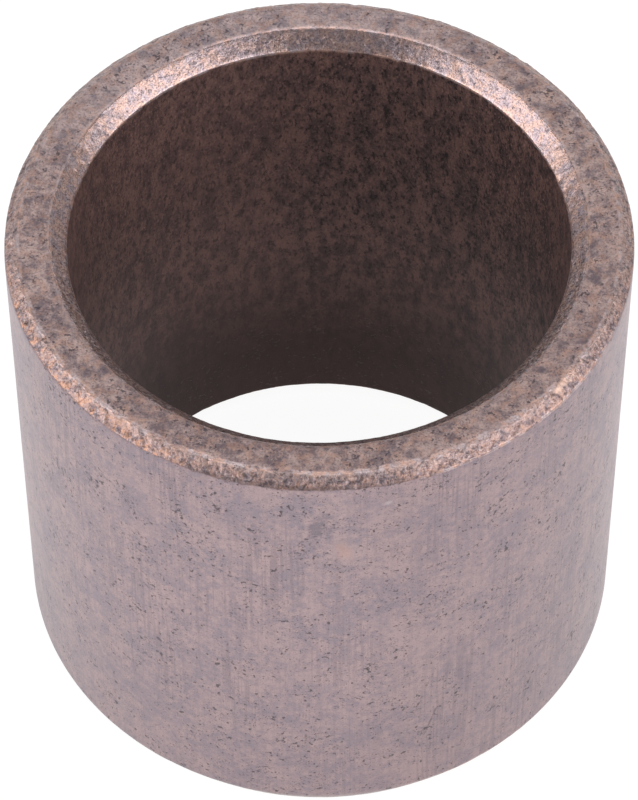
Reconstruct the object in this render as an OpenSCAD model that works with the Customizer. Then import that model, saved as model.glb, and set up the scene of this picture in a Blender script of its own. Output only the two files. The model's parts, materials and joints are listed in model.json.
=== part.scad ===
// Plain cylindrical sleeve bushing, pressed and sintered from bronze powder.
// It is one solid piece: a tube with a bevelled bore, a small chamfer around the outside of its
// upper end, and a long, steep lead-in around the outside of its lower end, which enters the
// housing first when the bushing is pressed home.
// The bushing stands on its lower end. The origin is the centre of that end face, and +Z runs
// along the bore.

/* [Sleeve] */
// Bore diameter, the size of the shaft that turns in it
bore_d = 20; // [12:0.5:21]
// Outside diameter, the size of the housing that it is pressed into
outer_d = 25; // [25:0.5:32]
// Length from end face to end face
sleeve_l = 24; // [12:0.5:60]

/* [Bore ends] */
// Radial depth of the 45 degree bevel at each end of the bore
bore_chamfer = 0.7; // [0.2:0.05:0.75]

/* [Upper end] */
// Radial depth of the 45 degree chamfer around the outside
outer_chamfer = 0.5; // [0.2:0.05:0.75]

/* [Lower end] */
// Radial depth of the press-fit lead-in around the outside
lead_in = 1; // [0.4:0.05:1.1]
// Angle in degrees between the lead-in and the axis
lead_in_angle = 30; // [15:1:45]

/* [Hidden] */
$fn = 180;

outer_r = outer_d / 2;
bore_r = bore_d / 2;
// Height of the lead-in along the axis
lead_in_h = lead_in / tan(lead_in_angle);
// How far a cutter runs past the face that it opens
overrun = 1;

// Half section of the blank, from the axis outwards: the lower end face, the lead-in, the wall
// that the housing grips, the chamfer and the upper end face.
module blank_section() {
    polygon([
        [0, 0],
        [outer_r - lead_in, 0],
        [outer_r, lead_in_h],
        [outer_r, sleeve_l - outer_chamfer],
        [outer_r - outer_chamfer, sleeve_l],
        [0, sleeve_l],
    ]);
}

// Straight wall that carries the shaft
module bore_cutter() {
    translate([0, 0, -overrun])
        cylinder(r = bore_r, h = sleeve_l + 2 * overrun);
}

// 45 degree bevel that opens the bore at z = 0, carried on past the face at the same slope
module bevel_cutter() {
    translate([0, 0, -overrun])
        cylinder(
            r1 = bore_r + bore_chamfer + overrun,
            r2 = bore_r,
            h = bore_chamfer + overrun
        );
}

module sleeve() {
    color([0.56, 0.47, 0.46])
        difference() {
            rotate_extrude() blank_section();
            bore_cutter();
            bevel_cutter();
            translate([0, 0, sleeve_l]) mirror([0, 0, 1]) bevel_cutter();
        }
}

sleeve();
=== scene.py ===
# %% [markdown]
# # A sintered bronze sleeve bushing
# The real object is one ring of bronze powder. A press squeezes the powder between a die, a core
# rod and two punches, a furnace fuses the grains, a second press sizes the wall and the bore, and
# the pores that are left drink up oil. Nothing is screwed, glued or rolled, so there is one piece
# to make here. What makes it look real is the difference between its surfaces: the wall and the
# bore slid along polished tools and came out smooth, while the bevels only met the punches and
# stayed as coarse as the powder.
#
# The CAD model gives the frame: it holds the exact sizes, and this script gives it a skin.

# %% Load the frame
import json
import math

import bpy
import numpy as np
from mathutils import Matrix, Vector, noise


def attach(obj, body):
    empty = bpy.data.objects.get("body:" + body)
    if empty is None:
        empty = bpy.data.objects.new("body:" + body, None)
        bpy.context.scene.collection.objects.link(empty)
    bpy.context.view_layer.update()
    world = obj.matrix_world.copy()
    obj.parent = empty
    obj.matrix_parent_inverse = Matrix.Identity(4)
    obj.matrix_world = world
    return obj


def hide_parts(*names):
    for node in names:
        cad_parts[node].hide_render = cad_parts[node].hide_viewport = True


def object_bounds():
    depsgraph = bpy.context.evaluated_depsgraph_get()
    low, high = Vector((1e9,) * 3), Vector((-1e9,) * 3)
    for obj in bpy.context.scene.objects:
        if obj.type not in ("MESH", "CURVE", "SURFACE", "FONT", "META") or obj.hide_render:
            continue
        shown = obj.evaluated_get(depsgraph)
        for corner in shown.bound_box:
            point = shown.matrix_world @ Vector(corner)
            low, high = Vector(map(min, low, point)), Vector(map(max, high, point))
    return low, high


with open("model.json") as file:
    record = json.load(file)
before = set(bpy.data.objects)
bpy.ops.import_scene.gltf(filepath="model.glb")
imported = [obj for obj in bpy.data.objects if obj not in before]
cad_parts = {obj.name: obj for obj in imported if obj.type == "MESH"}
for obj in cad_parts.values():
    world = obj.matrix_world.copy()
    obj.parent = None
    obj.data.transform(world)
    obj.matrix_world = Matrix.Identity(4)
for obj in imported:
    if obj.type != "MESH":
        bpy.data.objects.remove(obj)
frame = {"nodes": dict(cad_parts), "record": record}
cad_low, cad_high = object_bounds()
print("CAD box", [round(v, 5) for v in (*cad_low, *cad_high)], "nodes", sorted(frame["nodes"]))

# %% [markdown]
# ## Sizes
# A bushing is bought by three numbers: bore, outside diameter and length. The smaller sizes, such
# as the bevels, could be typed in again, but they would drift from the CAD model as soon as
# somebody changed it. The record already says where each straight wall and each flat ring lies,
# so every bevel follows from what the walls and rings leave over. All the work below is in
# millimetres, because a powder grain is a tenth of one, and the mesh is scaled to metres at the
# very end.

# %% Read the sleeve's sizes off its mounts
MM = 0.001
mounts = {m["name"]: m for m in frame["record"]["mounts"]}
length = (cad_high.z - cad_low.z) / MM
outer_r = mounts["outer_wall"]["dims"]["r_mm"]
bore_r = mounts["bore"]["dims"]["r_mm"]
bevel = (length - mounts["bore"]["dims"]["length_mm"]) / 2


def ring_edge(face):
    """Outer radius of a flat end ring, from the middle of the ring, which its mount gives."""
    return 2 * mounts[face]["pos_m"][0] / MM - (bore_r + bevel)


chamfer = outer_r - ring_edge("upper_face")
lead_in = outer_r - ring_edge("lower_face")
lead_in_h = length - chamfer - mounts["outer_wall"]["dims"]["length_mm"]
print(f"bore {2 * bore_r} x outside {2 * outer_r} x length {length:.1f} mm")
print(f"bore bevel {bevel:.2f}, upper chamfer {chamfer:.2f}, lead-in {lead_in:.2f} x {lead_in_h:.2f}")

# %% [markdown]
# ## Camera
# A part this small is best seen through a long lens from less than 20 centimetres away, which keeps
# the sides almost parallel but still draws the lower end a little narrower than the rim. The camera
# looks down at the sleeve from about 53 degrees, steep enough to look through the bore and out at
# the far side. It aims just above the middle of the bore's axis, so no lens shift is needed. A
# camera on a tripod is never quite square, and this one leans by a tenth of a degree.

# %% Place the camera
LENS = 193.2
SENSOR = 36.0
ELEVATION = math.radians(52.94)
DISTANCE = 178.9 * MM
AIM_HEIGHT = 12.74 * MM
AIM_SIDE = -0.025 * MM
LEAN = math.radians(-0.12)
NEAREST, FARTHEST = 0.01, 20

camera = bpy.data.objects.new("camera", bpy.data.cameras.new("camera"))
bpy.context.scene.collection.objects.link(camera)
bpy.context.scene.camera = camera
camera.data.lens = LENS
camera.data.sensor_width = SENSOR
camera.data.clip_start = NEAREST
camera.data.clip_end = FARTHEST
camera.location = (
    AIM_SIDE,
    -DISTANCE * math.cos(ELEVATION),
    AIM_HEIGHT + DISTANCE * math.sin(ELEVATION),
)
camera.rotation_euler = (math.pi / 2 - ELEVATION, 0, 0)
camera.rotation_euler.rotate_axis("Z", LEAN)
print("camera at", [round(v, 4) for v in camera.location])

# %% [markdown]
# ## Shader sums in plain arithmetic
# Every finish below is a sum of masks and noises, and a node tree of sums is hard to read back.
# The class wraps one output socket and lets it stand in an expression, so `1 - pores * 0.5` adds
# its own Math nodes. Colours don't go through Math nodes, which would turn them grey: `blend`
# mixes two colours by a mask.

# %% A socket that can be used in arithmetic
class Wire:
    """An output socket that stands in an expression, such as 1 - wire * 0.5."""

    def __init__(self, socket):
        self.socket = socket

    @staticmethod
    def node(tree, kind, settings=(), output=0, sockets=()):
        """Adds any node: its settings first, then its sockets' values or links."""
        made = tree.nodes.new(kind)
        for name, value in dict(settings).items():
            if name == "stops":
                Wire.set_stops(made.color_ramp, value)
            else:
                setattr(made, name, value)
        for key, value in dict(sockets).items():
            if isinstance(value, Wire):
                tree.links.new(value.socket, made.inputs[key])
            else:
                made.inputs[key].default_value = value
        return Wire(made.outputs[output]) if made.outputs else None

    @staticmethod
    def set_stops(ramp, stops):
        """Gives a colour ramp its (position, colour) stops."""
        while len(ramp.elements) > 1:
            ramp.elements.remove(ramp.elements[-1])
        for index, (position, colour) in enumerate(stops):
            stop = ramp.elements[0] if index == 0 else ramp.elements.new(position)
            stop.position = position
            stop.color = colour

    def math(self, operation, a, b):
        """Adds a Math node. Each of a and b is a wire or a number."""
        tree = self.socket.id_data
        return Wire.node(tree, "ShaderNodeMath", {"operation": operation}, sockets={0: a, 1: b})

    def __add__(self, other):
        return self.math("ADD", self, other)

    __radd__ = __add__

    def __sub__(self, other):
        return self.math("SUBTRACT", self, other)

    def __rsub__(self, other):
        return self.math("SUBTRACT", other, self)

    def __mul__(self, other):
        return self.math("MULTIPLY", self, other)

    __rmul__ = __mul__

    def least(self, other):
        return self.math("MINIMUM", self, other)

    def most(self, other):
        return self.math("MAXIMUM", self, other)

    def ramp(self, low, high):
        """0 at low and 1 at high, with a soft start and a soft end. low may be the larger."""
        return Wire.node(
            self.socket.id_data,
            "ShaderNodeMapRange",
            {"interpolation_type": "SMOOTHSTEP"},
            sockets={"Value": self, "From Min": low, "From Max": high},
        )

    def blend(self, colour_a, colour_b):
        """colour_a where this mask is 0, colour_b where it is 1."""
        return Wire.node(
            self.socket.id_data,
            "ShaderNodeMix",
            {"data_type": "RGBA"},
            output=2,
            sockets={0: self, 6: colour_a, 7: colour_b},
        )


print("a wire can", ", ".join(name.strip("_") for name in vars(Wire) if callable(vars(Wire)[name])))

# %% [markdown]
# ## Floor and light
# Shiny metal is a mirror of its room, so the room is designed before the metal. The floor is a
# light table, a white sheet lit from below, which wipes out the shadow and fills the wall from
# underneath. Two softboxes stand low at the left and at the front right, and they are what the
# bevels catch. A weak one behind lights the flat ring, and one overhead draws the bright line on
# every rounded edge. Over the camera the room stays dim, which leaves the bevel at the back
# darker than the ring beside it.
#
# The softboxes are area lights, because they keep their soft edges at any distance. The dim room
# is the world shader: pale at the horizon, where it meets the floor, and greyer overhead.

# %% The dim room
HORIZON, HORIZON_HEIGHT = (0.82, 0.82, 0.83, 1), 0.02
CEILING, CEILING_HEIGHT = (0.27, 0.27, 0.275, 1), 0.35

world = bpy.data.worlds.new("room")
bpy.context.scene.world = world
world.use_nodes = True
room = world.node_tree
room.nodes.clear()
direction = Wire.node(room, "ShaderNodeTexCoord", output=0)
height = Wire.node(room, "ShaderNodeSeparateXYZ", output=2, sockets={"Vector": direction})
steps = {"stops": [(HORIZON_HEIGHT, HORIZON), (CEILING_HEIGHT, CEILING)]}
shade = Wire.node(room, "ShaderNodeValToRGB", steps, sockets={"Fac": height})
backdrop = Wire.node(room, "ShaderNodeBackground", sockets={"Color": shade, "Strength": 1.0})
Wire.node(room, "ShaderNodeOutputWorld", sockets={"Surface": backdrop})
bpy.context.scene.view_settings.view_transform = "Standard"
print("room from", HORIZON[0], "at the horizon to", CEILING[0], "overhead")

# %% The softboxes
LIGHT_DISTANCE = 0.8


def softbox(name, azimuth, elevation, wide, tall, radiance):
    """A rectangular light aimed at the sleeve. Azimuth 0 is +X and 90 is +Y, in degrees."""
    turn, rise = math.radians(azimuth), math.radians(elevation)
    away = Vector((math.cos(turn) * math.cos(rise), math.sin(turn) * math.cos(rise), math.sin(rise)))
    lamp = bpy.data.lights.new(name, "AREA")
    lamp.shape = "RECTANGLE"
    lamp.size, lamp.size_y = wide, tall
    lamp.energy = radiance * math.pi * wide * tall
    box = bpy.data.objects.new(name, lamp)
    bpy.context.scene.collection.objects.link(box)
    box.location = (cad_low + cad_high) / 2 + away * LIGHT_DISTANCE
    box.rotation_euler = away.to_track_quat("Z", "Y").to_euler()
    print(f"{name}: {lamp.energy:.2f} W")


softbox("left_softbox", azimuth=196, elevation=22, wide=1.0, tall=0.50, radiance=2.45)
softbox("right_softbox", azimuth=-33, elevation=25, wide=1.1, tall=0.44, radiance=2.7)
softbox("back_softbox", azimuth=94, elevation=55, wide=0.9, tall=0.5, radiance=0.53)
softbox("top_softbox", azimuth=270, elevation=88, wide=0.80, tall=0.46, radiance=1.6)

# %% The light table
TABLE_HALF = 6.0
TABLE_GLOW = 0.93
SHEET_GREY, GLOW_WHITE = (0.12, 0.12, 0.12, 1), (1, 1, 1, 1)
SHEET_ROUGHNESS = 0.9

corners = [(x * TABLE_HALF, y * TABLE_HALF, 0) for x, y in ((-1, -1), (1, -1), (1, 1), (-1, 1))]
table_mesh = bpy.data.meshes.new("light_table")
table_mesh.from_pydata(corners, [], [(0, 1, 2, 3)])
table = bpy.data.objects.new("light_table", table_mesh)
bpy.context.scene.collection.objects.link(table)
white_sheet = bpy.data.materials.new("white_sheet")
white_sheet.use_nodes = True
sheet = white_sheet.node_tree.nodes["Principled BSDF"].inputs
sheet["Base Color"].default_value = SHEET_GREY
sheet["Roughness"].default_value = SHEET_ROUGHNESS
sheet["Emission Color"].default_value = GLOW_WHITE
sheet["Emission Strength"].default_value = TABLE_GLOW
table_mesh.materials.append(white_sheet)
print("light table", 2 * TABLE_HALF, "m across")

# %% [markdown]
# ## The ring
# A ring like this is turned in Blender by spinning a section, but a spun section has perfect
# edges, and the first thing the eye finds on a sintered part is that its edges crumble. Sculpting
# or displacing a finished mesh would push the corners around without making them ragged. So the
# ring is cut the way a machinist thinks of it: eight tools each take away everything outside
# their own face, and the rough tools wobble as they go. Where a rough bevel meets a smooth wall,
# the border between them wanders by itself, exactly as it does on the real part.
#
# Each point of the mesh starts on a spine inside the ring wall and moves outwards until the first
# tool stops it. A soft minimum in place of a hard one leaves every corner a few hundredths of a
# millimetre round, like an edge that has been tumbled and handled.

# %% The eight cuts
SECTION = [
    ("lead_in", outer_r - lead_in, 0.0),
    ("wall", outer_r, lead_in_h),
    ("chamfer", outer_r, length - chamfer),
    ("upper_face", outer_r - chamfer, length),
    ("upper_bevel", bore_r + bevel, length),
    ("bore", bore_r, length - bevel),
    ("lower_bevel", bore_r, bevel),
    ("lower_face", bore_r + bevel, 0.0),
]


def make_cuts(section):
    """Each cut runs from its own corner to the next one, and faces away from the metal."""
    cuts = []
    for (name, r, z), (_, next_r, next_z) in zip(section, section[1:] + section[:1]):
        run = math.hypot(next_r - r, next_z - z)
        along = ((next_r - r) / run, (next_z - z) / run)
        cuts.append({"name": name, "corner": (r, z), "run": run, "along": along})
        cuts[-1]["normal"] = (along[1], -along[0])
    return cuts


cuts = make_cuts(SECTION)
print([f"{c['name']} {c['run']:.2f}" for c in cuts])

# %% [markdown]
# ## Rows of points
# The upper rim is what people look at, and its grains are 0.15 mm across, so the mesh there has to
# be finer than a grain. The straight walls bend in one direction only and can do with few rows.
# One even grid fine enough for the rim would need ten times as many points. So each cut has its
# own plan: the first step away from a corner, and the widest step in its middle. The rows have
# twice as many points in the rim as lower down.

# %% Plan the rows around the section
ROW_PLANS = {
    "lead_in": (0.06, 0.26),
    "wall": (0.05, 2.2),
    "chamfer": (0.04, 0.055),
    "upper_face": (0.04, 0.10),
    "upper_bevel": (0.04, 0.062),
    "bore": (0.05, 2.2),
    "lower_bevel": (0.06, 0.16),
    "lower_face": (0.06, 0.16),
}
ROW_GROWTH = 1.5
FINE, COARSE = 1024, 512
FINE_BELOW_BEVEL = 0.35


def graded(total, first, widest):
    """Distances along a cut: close together at both ends, wider in the middle."""
    distances, step = [0.0], first
    while distances[-1] + step < total / 2:
        distances.append(distances[-1] + step)
        step = min(step * ROW_GROWTH, widest)
    return distances + [total / 2] + [total - d for d in reversed(distances[1:])]


rows = []
for cut in cuts:
    for distance in graded(cut["run"], *ROW_PLANS[cut["name"]]):
        r = cut["corner"][0] + cut["along"][0] * distance
        z = cut["corner"][1] + cut["along"][1] * distance
        in_rim = z > length - bevel - FINE_BELOW_BEVEL
        rows.append((r, z, FINE if in_rim else COARSE))
print(len(rows), "rows,", sum(count for _, _, count in rows), "points")

# %% [markdown]
# ## What the tools leave behind
# A bevel shows the powder: long waves where the die was filled unevenly, lumps of sintered grains,
# the grains themselves, and pits where a grain has fallen out. A sized wall has only shallow dips.
# A displacement map could draw all this, but it would stay a picture unless the mesh were cut up
# to match, so the noise moves the points. On the sized faces the dips only ever go into the metal,
# so the sleeve never grows past its gauge.

# %% How far each tool wobbles
# ROUGH is the share of the wobble that each rough tool has. Sizes are the widths of the features,
# and heights, rises and depths are how far they move the cut, all in millimetres.
ROUGH = {"chamfer": 0.8, "upper_bevel": 0.28, "lower_bevel": 0.28, "lead_in": 0.2}
WAVE, WAVE_HEIGHT = 1.7, 0.026
LUMP, LUMP_RISE = 0.5, 0.026
GRAIN, GRAIN_RISE = 0.15, 0.030
PIT, PIT_START, PIT_DEPTH = 0.34, 0.18, 0.12
DIP, DIP_DEPTH = 2.6, 0.006
RIPPLE, RIPPLE_DEPTH = 0.6, 0.002
SWELL_STEPS = (17.3, 5.1, 9.7)


def swell(points, size, seed):
    """Smooth noise about -1 to 1, with lumps of the given size in millimetres."""
    shift = Vector([seed * step for step in SWELL_STEPS])
    return np.array([noise.noise(Vector(p) / size + shift) for p in points])


def rough_relief(points):
    """What a punch leaves: long waves, lumps, single grains, and pits where grains fell out."""
    pits = np.maximum(0.0, swell(points, PIT, 4) - PIT_START)
    return (
        WAVE_HEIGHT * swell(points, WAVE, 1)
        + LUMP_RISE * swell(points, LUMP, 2)
        + GRAIN_RISE * swell(points, GRAIN, 3)
        - PIT_DEPTH * pits
    )


def smooth_relief(points):
    """What a polished die leaves: shallow dips a few microns deep."""
    dips = DIP_DEPTH * np.abs(swell(points, DIP, 5))
    ripples = RIPPLE_DEPTH * np.abs(swell(points, RIPPLE, 6))
    return -dips - ripples


sample = [(outer_r, 0, GRAIN * step) for step in range(100)]
print(f"a raw cut wobbles over {np.ptp(rough_relief(sample)):.3f} mm at full strength")
print(f"a sized one over {np.ptp(smooth_relief(sample)):.4f} mm")

# %% [markdown]
# ## Cutting the ring
# The soft minimum needs one number, how soft it is, which is roughly the worn corner's radius. The
# shoulder between the upper face and the outer chamfer is the most handled one and gets the
# largest radius, and the bevel into the bore comes next. A tool that a point would only meet at a
# glancing angle is left out, because there the smallest wobble would turn into a long step.

# %% Move each point from the spine to the first tool
SPINE_R = (outer_r + bore_r) / 2
SPINE_LOW, SPINE_HIGH = lead_in_h + 0.2, length - 1.25
SOFTNESS = 0.028
SHOULDER = 0.055
INNER_SHOULDER = 0.036
INNER_SHOULDER_REACH = INNER_SHOULDER * 3
GLANCING = 0.15
NEAR_RIM = 0.8


def corner_softness(r, z):
    """How soft the corner nearest to this row is, in millimetres."""
    if r > SPINE_R and z > length - chamfer / 2:
        return SHOULDER
    if r < SPINE_R and z > length - bevel - INNER_SHOULDER_REACH:
        return INNER_SHOULDER
    return SOFTNESS


def turned_row(r, z, count):
    """The points of one row, after the tools have cut it."""
    turn = np.arange(count) * (2 * math.pi / count)
    cos, sin = np.cos(turn), np.sin(turn)
    nominal = np.stack([r * cos, r * sin, np.full(count, z)], axis=1)
    spine_z = min(max(z, SPINE_LOW), SPINE_HIGH)
    away = Vector((r - SPINE_R, z - spine_z)).normalized()
    near_rim = z < lead_in_h + NEAR_RIM or z > length - bevel - NEAR_RIM
    rough = rough_relief(nominal) if near_rim else None
    smooth = smooth_relief(nominal)
    stops = []
    for cut in cuts:
        meets = away.dot(Vector(cut["normal"]))
        if meets < GLANCING:
            continue
        coarse = ROUGH.get(cut["name"], 0)
        if coarse and not near_rim:
            continue
        gap = Vector(cut["corner"]) - Vector((SPINE_R, spine_z))
        wobble = coarse * rough if coarse else smooth
        stops.append((gap.dot(Vector(cut["normal"])) + wobble) / meets)
    soft = corner_softness(r, z)
    first = np.minimum.reduce(stops)
    reach = first - soft * np.log(sum(np.exp((first - s) / soft) for s in stops))
    new_r, new_z = SPINE_R + away.x * reach, spine_z + away.y * reach
    return np.stack([new_r * cos, new_r * sin, new_z], axis=1)


turned = [turned_row(*row) for row in rows]
print("radius", round(float(max(np.hypot(t[:, 0], t[:, 1]).max() for t in turned)), 3), "mm")

# %% [markdown]
# ## Skinning
# The rows are closed rings, one after another around the section, so the skin is a torus: every
# row is joined to the next, and the last one to the first. Bridging them by hand in the editor
# gives the same faces, but a function can be trusted at the two borders where a coarse row meets
# a fine one. There each coarse step takes three triangles, and no hole or stray edge is left.

# %% Skin the rows
def stitch(a, b, start_a, start_b):
    """The faces between two rows, which may have the same count or one twice the other."""
    faces = []
    if a == b:
        for j in range(a):
            k = (j + 1) % a
            faces.append((start_a + j, start_a + k, start_b + k, start_b + j))
        return faces
    for j in range(min(a, b)):
        k = (j + 1) % min(a, b)
        one, two, three = 2 * j, 2 * j + 1, (2 * j + 2) % max(a, b)
        if a < b:
            faces.append((start_a + j, start_a + k, start_b + two))
            faces.append((start_a + j, start_b + two, start_b + one))
            faces.append((start_a + k, start_b + three, start_b + two))
        else:
            faces.append((start_a + one, start_a + two, start_b + j))
            faces.append((start_a + two, start_b + k, start_b + j))
            faces.append((start_a + two, start_a + three, start_b + k))
    return faces


counts = [count for _, _, count in rows]
starts = [sum(counts[:i]) for i in range(len(counts))]
faces = []
for i in range(len(rows)):
    n = (i + 1) % len(rows)
    faces += stitch(counts[i], counts[n], starts[i], starts[n])

skin = bpy.data.meshes.new("sintered_sleeve")
skin.from_pydata((np.concatenate(turned) * MM).tolist(), [], faces)
skin.polygons.foreach_set("use_smooth", [True] * len(skin.polygons))
sleeve = bpy.data.objects.new("sintered_sleeve", skin)
bpy.context.scene.collection.objects.link(sleeve)
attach(sleeve, "root")
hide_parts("sleeve")
triangles = sum(len(p.vertices) - 2 for p in skin.polygons)
print("skin of", len(skin.vertices), "points and", triangles, "triangles")

# %% [markdown]
# ## The finish
# One metal, four surfaces: a smooth wall, blotchy ends, a dark bore and raw bevels. Separate
# materials for separate faces would give borders as straight as the mesh, so the sleeve has one
# material that asks where it is. The shader measures how far a point lies below the wall, the
# ends and the bore. On any of those surfaces the smallest of the three is zero; only on a bevel
# are all of them more. That one test follows every crumbled edge exactly.
#
# All of it is measured from the sleeve's own origin, so the finish stays on the metal when the
# sleeve is moved or seen from another side.

# %% Start the bronze material
bronze = bpy.data.materials.new("sintered_bronze")
bronze.use_nodes = True
tree = bronze.node_tree
tree.nodes.clear()
skin.materials.append(bronze)

place = Wire.node(
    tree,
    "ShaderNodeVectorMath",
    {"operation": "SCALE"},
    sockets={0: Wire.node(tree, "ShaderNodeTexCoord", output=3), "Scale": 1 / MM},
)


def moved(vector, stretch=(1, 1, 1), shift=(0, 0, 0)):
    """The place in millimetres, squeezed and shifted."""
    sockets = {0: vector, 1: stretch, 2: shift}
    return Wire.node(tree, "ShaderNodeVectorMath", {"operation": "MULTIPLY_ADD"}, sockets=sockets)


print("the shader's millimetre is", MM, "of a Blender unit")

# %% Masks for the surfaces
# Each pair says how many millimetres below a surface its mask is 0 and how many below it is 1.
FACE_TO_BEVEL = (0.016, 0.05)
END_BORDER = (0.05, 0.02)
BORE_BORDER = (0.06, 0.02)
SPINE_BLUR = 0.2

flat = moved(place, stretch=(1, 1, 0))
radius = Wire.node(tree, "ShaderNodeVectorMath", {"operation": "LENGTH"}, output=1, sockets={0: flat})
z = Wire.node(tree, "ShaderNodeSeparateXYZ", output=2, sockets={0: place})
below_wall = outer_r - radius
below_ends = (length - z).least(z)
below_bore = radius - bore_r
below_all = below_wall.least(below_ends).least(below_bore)
on_bevel = below_all.ramp(*FACE_TO_BEVEL)
on_end = below_ends.ramp(*END_BORDER)
in_bore = below_bore.ramp(*BORE_BORDER)
outside = radius.ramp(SPINE_R - SPINE_BLUR, SPINE_R + SPINE_BLUR)
print("four masks from", len(tree.nodes), "nodes")

# %% [markdown]
# ## Pores
# Sintered bronze is about a fifth empty space. The sizing press smears most of the pores shut,
# and the rest stay open in loose flocks. A Voronoi texture would scatter dots of one size. Noise
# cut off near its top gives pores of many sizes, and a larger noise, added before the cut,
# gathers them into flocks. Every noise has a seed, which is only how far it is shifted, so no two
# of them line up.
#
# A ramp's two numbers are where in the noise a layer begins and where it is full. Noise seldom
# strays far from 0.5, so most pairs lie close to it, and a pair well above it picks out the few
# highest spots.

# %% Open pores and fine specks
SEED_STEPS = (7.7, 3.1, 5.9)
PORE_SIZE, SPECK_SIZE, FLOCK_SIZE = 0.19, 0.085, 1.3
PORE_CUT, SPECK_CUT = (0.785, 0.855), (0.71, 0.87)


def cloud(size, seed, detail=2.0, stretch=(1, 1, 1), roughness=0.5, distortion=0.0):
    """Noise from 0 to 1, with features of the given size in millimetres."""
    shift = tuple(seed * step for step in SEED_STEPS)
    sockets = {"Vector": moved(place, stretch, shift), "Scale": 1 / size, "Detail": detail}
    sockets |= {"Roughness": roughness, "Distortion": distortion}
    return Wire.node(tree, "ShaderNodeTexNoise", sockets=sockets)


flock = cloud(size=FLOCK_SIZE, seed=6)
pore_field = cloud(size=PORE_SIZE, seed=5, distortion=0.15)
pores = (pore_field + flock * 0.30).ramp(*PORE_CUT)
speck_field = cloud(size=SPECK_SIZE, seed=7, detail=1)
specks = (speck_field + flock * 0.25).ramp(*SPECK_CUT)
print(f"pores of {PORE_SIZE} mm and specks of {SPECK_SIZE} mm, in flocks of {FLOCK_SIZE} mm")

# %% [markdown]
# ## The sized wall
# The wall slid out of a polished die. It is smooth and grey-mauve, with warmer clouds where its oxide
# skin is thin, and with faint lines along its length where grit dragged in the die. The lines are
# plain noise drawn out some thirty times along the axis, and a second noise lets them show only in
# places. It is painted a shade darker towards the lower end and on one side.
#
# The colours are given on the screen's scale of 0 to 255. A base of two colours comes first, and
# layers of thin paint go over it through masks, as a model maker weathers a casting.
#
# Some masks face one side of the ring. They are fixed to the metal and don't move with the camera.
# Their places and strengths are tuned for the front view. On the wall they make one side a shade
# darker, and on the ends one side paler and another browner. On the bevels and in the bore some of
# them are painted light and painted shade, which stand in for light that this plain room doesn't
# throw. That is a compromise: painted light stays put when the lights move.

# %% Paints, layers and sides of the ring
def paint(red, green, blue):
    """A colour given as it looks on a screen, 0 to 255, as the linear colour a shader wants."""
    shares = (red / 255, green / 255, blue / 255)
    linear = [s / 12.92 if s <= 0.04045 else ((s + 0.055) / 1.055) ** 2.4 for s in shares]
    return (*linear, 1)


def layered(colour, layers):
    """Lays paints over a colour, one after another. Each layer is a mask and its paint."""
    for mask, tint in layers:
        colour = mask.blend(colour, tint)
    return colour


def facing(azimuth, spread, around_r=outer_r):
    """1 on the side of the ring that lies at this azimuth, 0 beyond the spread, in degrees."""
    turn = math.radians(azimuth)
    toward = (math.cos(turn) / around_r, math.sin(turn) / around_r, 0)
    dot = {"operation": "DOT_PRODUCT"}
    share = Wire.node(tree, "ShaderNodeVectorMath", dot, output=1, sockets={0: place, 1: toward})
    limit = math.cos(math.radians(spread))
    return share.ramp(limit, 1 - (1 - limit) / 4)


print("a bright copper is", [round(v, 2) for v in paint(214, 158, 126)], "in linear light")

# %% Paint the wall
GREY_SKIN, WARM_SKIN = paint(152, 138, 146), paint(180, 156, 157)
DRAG_LINE, WALL_GRIT, DARKER_WALL = paint(136, 122, 129), paint(112, 98, 106), paint(118, 98, 100)
WALL_SPECK, WALL_PORE = paint(84, 74, 80), paint(66, 57, 63)
DRAG_STRETCH, DRAG_PATCH_STRETCH = (1, 1, 0.03), (1, 1, 0.35)
DARKER_BELOW = (15, 1)

blotch = cloud(size=1.6, seed=1, detail=3, roughness=0.6)
fine_blotch = cloud(size=0.32, seed=2, detail=3, roughness=0.65)
micro = cloud(size=0.06, seed=8, detail=1)
drag = cloud(size=0.13, seed=3, stretch=DRAG_STRETCH)
drag_patch = cloud(size=2.2, seed=4, stretch=DRAG_PATCH_STRETCH).ramp(0.45, 0.7)
# The front right side of the wall is painted a shade darker.
darker_side = facing(azimuth=308, spread=36)
wall_tone = (blotch * 0.38 + fine_blotch * 0.49 + micro * 0.13).ramp(0.385, 0.615)
wall_layers = [
    (drag.ramp(0.45, 0.62) * (0.15 + drag_patch * 0.4), DRAG_LINE),
    (micro.ramp(0.50, 0.30) * 0.18, WALL_GRIT),
    # Painted a shade darker towards the lower end and on the front right side.
    (z.ramp(*DARKER_BELOW) * 0.17, DARKER_WALL),
    (darker_side * 0.11, DARKER_WALL),
    (specks * 0.55, WALL_SPECK),
    (pores * 0.8, WALL_PORE),
]
wall_colour = layered(wall_tone.blend(GREY_SKIN, WARM_SKIN), wall_layers)
print("wall of", len(wall_layers), "layers,", len(tree.nodes), "nodes so far")

# %% [markdown]
# ## The flat ends
# The punches that press the ends are never as polished as the die. The ends come out browner than the
# wall, stained with copper, and shallowly pitted. Three noises of falling size make the stains,
# because one noise with many octaves looks like smoke rather than like metal. One side of the ring is
# painted a little paler and the other browner.

# %% Paint the ends
DULL_END, PALE_END = paint(126, 112, 118), paint(208, 182, 176)
COPPER_STAIN, END_GRIT = paint(198, 156, 136), paint(112, 98, 104)
END_PIT, END_SPECK, END_PORE = paint(108, 98, 106), paint(92, 80, 86), paint(66, 58, 66)
PALER_SECTOR, BROWNER_SECTOR = paint(214, 200, 206), paint(108, 86, 84)

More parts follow.
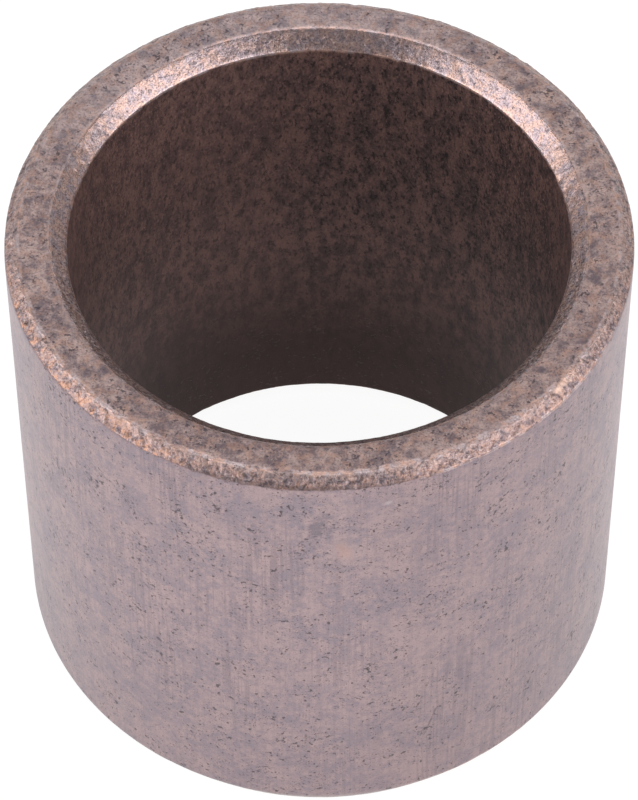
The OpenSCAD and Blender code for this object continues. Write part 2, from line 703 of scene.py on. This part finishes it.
stain = cloud(size=1.1, seed=11, detail=4, roughness=0.62)
rust = cloud(size=0.34, seed=14, detail=3, roughness=0.6)
fleck = cloud(size=0.10, seed=12, roughness=0.6)
copper_stain = cloud(size=0.45, seed=15, detail=3, roughness=0.6)
end_tone = (stain * 0.36 + rust * 0.51 + fleck * 0.13).ramp(0.375, 0.625)
end_pits = (cloud(size=0.24, seed=13, detail=3, roughness=0.6) + stain * 0.3).ramp(0.52, 0.44)
# The back left of the flat ring is painted paler and the front browner.
paler_sector = facing(azimuth=108, spread=70)
browner_sector = facing(azimuth=285, spread=95)
end_layers = [
    (paler_sector * 0.22, PALER_SECTOR),
    (browner_sector * 0.17, BROWNER_SECTOR),
    (copper_stain.ramp(0.44, 0.66) * 0.45, COPPER_STAIN),
    (fleck.ramp(0.56, 0.30) * 0.36, END_GRIT),
    (end_pits * 0.6, END_PIT),
    (specks * 0.6, END_SPECK),
    (pores * 0.75, END_PORE),
]
end_colour = layered(end_tone.blend(DULL_END, PALE_END), end_layers)
print("ends of", len(end_layers), "layers,", len(tree.nodes), "nodes so far")

# %% [markdown]
# ## The bore
# The bore was sized over a core rod, which drew its grain out along the axis. It holds the most oil
# and gets the least light, so it is painted nearly black: partly for the oil and partly as painted
# shade, and darkest towards the lower end, which is painted shade. Its brown grain shows best near
# the mouth, where the bright grains are partly painted glints. Black paint alone would look like a
# hole. The grain, some dark pores and a side painted lighter, which is painted light, keep it looking
# like metal that is deep in shade.

# %% Paint the bore
# Nearly black: partly the oil's colour, partly painted shade.
OILED_AND_SHADED, OILED_AND_SHADED_BROWN = paint(80, 61, 61), paint(124, 93, 87)
BORE_PORE, BORE_DARK, BORE_BRIGHT = paint(32, 24, 24), paint(44, 34, 34), paint(160, 122, 112)
BORE_LIT_SIDE, BORE_DEEP_SHADE = paint(160, 122, 116), paint(44, 24, 22)
DRAWN_OUT = (1, 1, 0.55)
MOUTH, PORES_SHOW, DEEP = (9, 21), (4, 15), (13, 3)

bore_grain = cloud(size=0.085, seed=21, stretch=DRAWN_OUT, roughness=0.6)
bore_stain = cloud(size=0.42, seed=22, detail=4, stretch=DRAWN_OUT, roughness=0.6)
bore_cloud = cloud(size=0.9, seed=24, stretch=DRAWN_OUT)
bore_tone = (bore_stain * 0.7 + bore_cloud * 0.3).ramp(0.38, 0.62)
bore_pores = cloud(size=0.16, seed=23, stretch=DRAWN_OUT, roughness=0.6) + bore_stain * 0.25
far_side = facing(azimuth=90, spread=55, around_r=bore_r)
# Painted light: the back left side of the bore is painted lighter.
lit_side = facing(azimuth=140, spread=55, around_r=bore_r)
# Near the mouth, away from the back, the grain is stronger and its bright grains are partly painted
# glints.
lit_mouth = z.ramp(*MOUTH) * (1 - far_side * 0.6)
bore_layers = [
    (bore_grain.ramp(0.50, 0.32) * (0.35 + lit_mouth * 0.45), BORE_DARK),
    (bore_pores.ramp(0.60, 0.47) * (0.40 + z.ramp(*PORES_SHOW) * 0.40), BORE_PORE),
    (bore_grain.ramp(0.56, 0.74) * (0.25 + lit_mouth * 0.7), BORE_BRIGHT),
    (lit_side * 0.14, BORE_LIT_SIDE),
    # Painted shade: darker towards the lower end of the bore.
    (z.ramp(*DEEP) * 0.92, BORE_DEEP_SHADE),
]
bore_colour = layered(bore_tone.blend(OILED_AND_SHADED, OILED_AND_SHADED_BROWN), bore_layers)
print("bore of", len(bore_layers), "layers,", len(tree.nodes), "nodes so far")

# %% [markdown]
# ## The raw bevels
# No polished tool slides over a bevel, so its grains keep their round backs and the black gaps
# between them; the pale grain tops are painted glints. Where the sleeve has been handled, the oxide
# is gone and the grains are copper.
# The colours of the inner and the outer bevel are mixed apart and then joined by the mask that
# says on which side of the ring a point lies, because the inner one is brighter and finer. Its near
# side gets more white grains and its far side a little shade, which is painted light, as said
# above. The bevels of the lower end are given more of the wall's colour, by guess.

# %% Grains and gaps
GRAIN_SIZE, LUMP_SIZE, PATCH_SIZE = 0.07, 0.135, 0.4

mid_bevel_r = bore_r + bevel / 2
patch = cloud(size=PATCH_SIZE, seed=31, detail=3, roughness=0.6)
grain = cloud(size=GRAIN_SIZE, seed=32, roughness=0.6)
lump = cloud(size=LUMP_SIZE, seed=33, roughness=0.6, distortion=0.3)
bevel_tone = (patch * 0.7 + grain * 0.3).ramp(0.40, 0.60)
gaps = (lump + patch * 0.2 - outside * 0.045).ramp(0.52, 0.42)
near_side = facing(azimuth=270, spread=100, around_r=mid_bevel_r)
print(f"grains of {GRAIN_SIZE} mm in lumps of {LUMP_SIZE} mm and patches of {PATCH_SIZE} mm")

# %% Paint the inner bevel
INNER_GREY, INNER_WARM, INNER_SHADE = paint(172, 156, 162), paint(198, 164, 152), paint(112, 97, 100)
BRIGHT_GRAIN_GLINT, WHITE_GRAIN = paint(232, 210, 206), paint(250, 230, 226)

shaded = facing(azimuth=90, spread=34, around_r=mid_bevel_r)
inner_layers = [
    (shaded * 0.40, INNER_SHADE),
    # Paler grain tops on the inner bevel are painted glints.
    (lump.ramp(0.53, 0.64) * 0.25, BRIGHT_GRAIN_GLINT),
    (lump.ramp(0.47, 0.58) * near_side * 0.78, WHITE_GRAIN),
]
inner_colour = layered(bevel_tone.blend(INNER_GREY, INNER_WARM), inner_layers)
print("inner bevel of", len(inner_layers), "layers, brightest on the near side")

# %% Paint the outer bevel
OUTER_GREY, OUTER_WARM = paint(132, 118, 123), paint(172, 142, 134)
OUTER_GRAIN_GLINT, OUTER_SHOULDER_HIGHLIGHT = paint(214, 192, 188), paint(216, 194, 188)
COPPER, OUTER_BORDER_SHADE = paint(214, 158, 126), paint(92, 78, 80)

# More copper towards the left front.
coppery_side = facing(azimuth=218, spread=34)
# Painted shade along the front of the chamfer, next to the wall.
shaded_border = facing(azimuth=268, spread=30) * below_wall.ramp(0.20, 0.05)
copper = cloud(size=0.27, seed=34).ramp(0.49, 0.60) * (0.35 + coppery_side * 0.65)
outer_layers = [
    # Paler grain tops on the outer bevel are painted glints.
    (lump.ramp(0.54, 0.66) * 0.44, OUTER_GRAIN_GLINT),
    # Painted highlight on the shoulder next to the flat ring.
    (below_ends.ramp(0.30, 0.06) * 0.22, OUTER_SHOULDER_HIGHLIGHT),
    (copper * (0.30 + below_wall.ramp(0.34, 0.12) * 0.3), COPPER),
    (shaded_border * 0.5, OUTER_BORDER_SHADE),
]
outer_colour = layered(bevel_tone.blend(OUTER_GREY, OUTER_WARM), outer_layers)
print("outer bevel of", len(outer_layers), "layers, copper in places")

# %% Join the bevels
GRAIN_EDGE, GAP = paint(100, 84, 87), paint(60, 50, 53)
LOWER_END = (8, 4)

bevel_layers = [
    (grain.ramp(0.56, 0.34) * (0.60 - outside * 0.30), GRAIN_EDGE),
    # The gaps are darker on the near side of the inner bevel, which is painted shade that goes with
    # its painted light.
    (gaps * (0.54 + near_side * (1 - outside) * 0.28), GAP),
    (z.ramp(*LOWER_END) * 0.55, wall_colour),
]
bevel_colour = layered(outside.blend(inner_colour, outer_colour), bevel_layers)
print("both bevels share", len(bevel_layers), "layers,", len(tree.nodes), "nodes so far")

# %% [markdown]
# ## Handled edges
# Every edge between a smooth face and a bevel has been rubbed bright by hands and by other bushings,
# and its bright paint is partly a painted highlight of the line that a rounded edge catches. The mesh
# has a rounded edge there already; the mask only finds the narrow band where a point has just begun
# to lie below all the faces. On the wall's side the edge stays dark except near the front right,
# where the bright band is a painted highlight.

# %% Rub the edges bright and paint their highlight
EDGE_BEGINS, EDGE_ENDS = (0.006, 0.016), (0.115, 0.035)
SILVER_RUB_HIGHLIGHT, COPPER_RUB_HIGHLIGHT = paint(224, 206, 208), paint(228, 184, 166)

# Edges are partly rubbed bright and partly a painted highlight.
rubbed_and_highlit = cloud(size=0.5, seed=41, detail=3).ramp(0.36, 0.54)
beside_wall = outside * below_wall.ramp(0.14, 0.06)
edge = below_all.ramp(*EDGE_BEGINS) * below_all.ramp(*EDGE_ENDS) * rubbed_and_highlit
# At the front right the edge beside the wall carries a painted highlight.
highlight_to_wall = facing(azimuth=312, spread=30)
edge = edge * (1 - beside_wall * (1 - highlight_to_wall)) * (1 - grain.ramp(0.54, 0.38) * 0.5)
edge_colour = patch.ramp(0.42, 0.58).blend(SILVER_RUB_HIGHLIGHT, COPPER_RUB_HIGHLIGHT)
print(f"edges rubbed until {EDGE_ENDS[0]} mm below the faces")

# %% [markdown]
# ## Marks from handling
# A bushing that has been through a parts bin has a few marks of its own: a dull smear of dried oil, a
# warm spot where the skin is thinner, a small dent, a nick like a star, one long scratch, and a rub
# on the rim, which is partly a painted highlight. Painting them on a texture would tie them to one
# unwrapping of the mesh. So each is an ellipse laid on the surface by its azimuth and height, and the
# wall's own noise breaks up its outline.

# %% An ellipse on the surface
RAGGED = 2.2
MIDDLE, RIM = 0.15, 1.15


def mark(azimuth, up, lean, long, wide, around_r=outer_r):
    """A soft ellipse on the wall: 1 in its middle, 0 outside. The lean is from the vertical."""
    turn, tip = math.radians(azimuth), math.radians(lean)
    out = Vector((math.cos(turn), math.sin(turn), 0))
    across = Vector((-math.sin(turn), math.cos(turn), 0))
    along = Vector((0, 0, 1)) * math.cos(tip) + across * math.sin(tip)
    pose = Matrix((along, out.cross(along), out)).transposed()
    sockets = {"Vector": place, "Location": out * around_r + Vector((0, 0, up))}
    sockets |= {"Rotation": pose.to_euler(), "Scale": (long / 2, wide / 2, 1)}
    local = Wire.node(tree, "ShaderNodeMapping", {"vector_type": "TEXTURE"}, sockets=sockets)
    distance = {"operation": "LENGTH"}
    far = Wire.node(tree, "ShaderNodeVectorMath", distance, output=1, sockets={0: local})
    return (far + fine_blotch * RAGGED - RAGGED / 2).ramp(RIM, MIDDLE)


print("a mark fades out", RIM, "times as far from its middle as its own edge")

# %% Six marks
SMEAR, WARM_SPOT, BRIGHT_DENT = paint(120, 110, 118), paint(190, 156, 146), paint(192, 176, 180)
DARK_NICK, DARK_SCRATCH, RIM_RUB_HIGHLIGHT = paint(70, 60, 66), paint(98, 84, 90), paint(224, 188, 170)

smear = mark(azimuth=269.6, up=21.1, lean=10, long=1.9, wide=1.2)
warm = mark(azimuth=274.2, up=19.5, lean=-15, long=1.8, wide=0.8)
dent = mark(azimuth=282.0, up=22.4, lean=70, long=0.5, wide=0.26)
star = mark(azimuth=251.7, up=21.5, lean=30, long=0.42, wide=0.16)
star = star.most(mark(azimuth=251.7, up=21.5, lean=-50, long=0.40, wide=0.14))
scratch = mark(azimuth=291.3, up=6.2, lean=16, long=2.4, wide=0.13)
rubbed_highlight_r = outer_r - chamfer * 0.8
# A rub on the rim, partly a painted highlight.
rubbed_highlight = mark(azimuth=320.6, up=23.90, lean=88, long=1.3, wide=0.40, around_r=rubbed_highlight_r)

mark_layers = [
    (smear * 0.6, SMEAR),
    (warm * 0.55, WARM_SPOT),
    (dent * 0.6, BRIGHT_DENT),
    (star * 0.85, DARK_NICK),
    (scratch * 0.6, DARK_SCRATCH),
]
wall_colour = layered(wall_colour, mark_layers)
bevel_colour = layered(bevel_colour, [(rubbed_highlight * outside * 0.7, RIM_RUB_HIGHLIGHT)])
print(len(mark_layers), "marks on the wall and one on the rim,", len(tree.nodes), "nodes so far")

# %% [markdown]
# ## Put the finishes together
# The masks decide which surface a point belongs to, and the last one wins, so the order is wall,
# ends, bore, bevels, edges. Roughness follows the same masks: the bright grains of the inner bevel
# are the glossiest, then comes the wall, and the oiled bore scatters light the most. Oil and open
# pores take away some of the metal's shine. Pores and single grains are too small for the mesh, so
# they come from a bump map, whose height is written in millimetres like everything else.

# %% Colour and gloss
WALL_ROUGHNESS, WALL_METAL = 0.40, 0.92

surfaces = [
    (on_end, end_colour),
    (in_bore, bore_colour),
    (on_bevel, bevel_colour),
    # The edges: partly rubbed bright, partly a painted highlight.
    (edge * (0.40 + outside * 0.18), edge_colour),
]
colour = layered(wall_colour, surfaces)
roughness = WALL_ROUGHNESS + on_end * 0.06 + in_bore * 0.22
roughness = roughness + on_bevel * (outside * 0.14 - 0.10) - edge * 0.08
metallic = WALL_METAL - in_bore * 0.22 - on_bevel * 0.10 - pores * 0.3
print(len(surfaces), "surfaces over the wall")

# %% Relief too fine for the mesh
PORE_DEPTH, DENT_DEPTH = 0.010, 0.02
DRAG_HEIGHT, FLECK_HEIGHT, BORE_HEIGHT = 0.0012, 0.004, 0.006
LUMP_HEIGHT, GRAIN_HEIGHT = 0.030, 0.010

grains = lump * (outside * 0.7 + 0.3 - rubbed_highlight * outside) * LUMP_HEIGHT + grain * GRAIN_HEIGHT
relief = (drag * DRAG_HEIGHT - pores * PORE_DEPTH) * (1 - on_bevel) + grains * on_bevel
relief = relief + fleck * on_end * FLECK_HEIGHT + bore_grain * in_bore * BORE_HEIGHT
relief = relief - dent * DENT_DEPTH
print("deepest pore", PORE_DEPTH, "mm, highest lump", LUMP_HEIGHT, "mm")

# %% The metal itself
bump = Wire.node(tree, "ShaderNodeBump", sockets={"Height": relief, "Distance": MM, "Strength": 1.0})
metal = Wire.node(
    tree,
    "ShaderNodeBsdfPrincipled",
    sockets={"Base Color": colour, "Metallic": metallic, "Roughness": roughness, "Normal": bump},
)
Wire.node(tree, "ShaderNodeOutputMaterial", sockets={"Surface": metal})
print("bronze has", len(tree.nodes), "nodes")

# %% [markdown]
# ## Size
# The skin has to fill the box of the CAD model and no more.
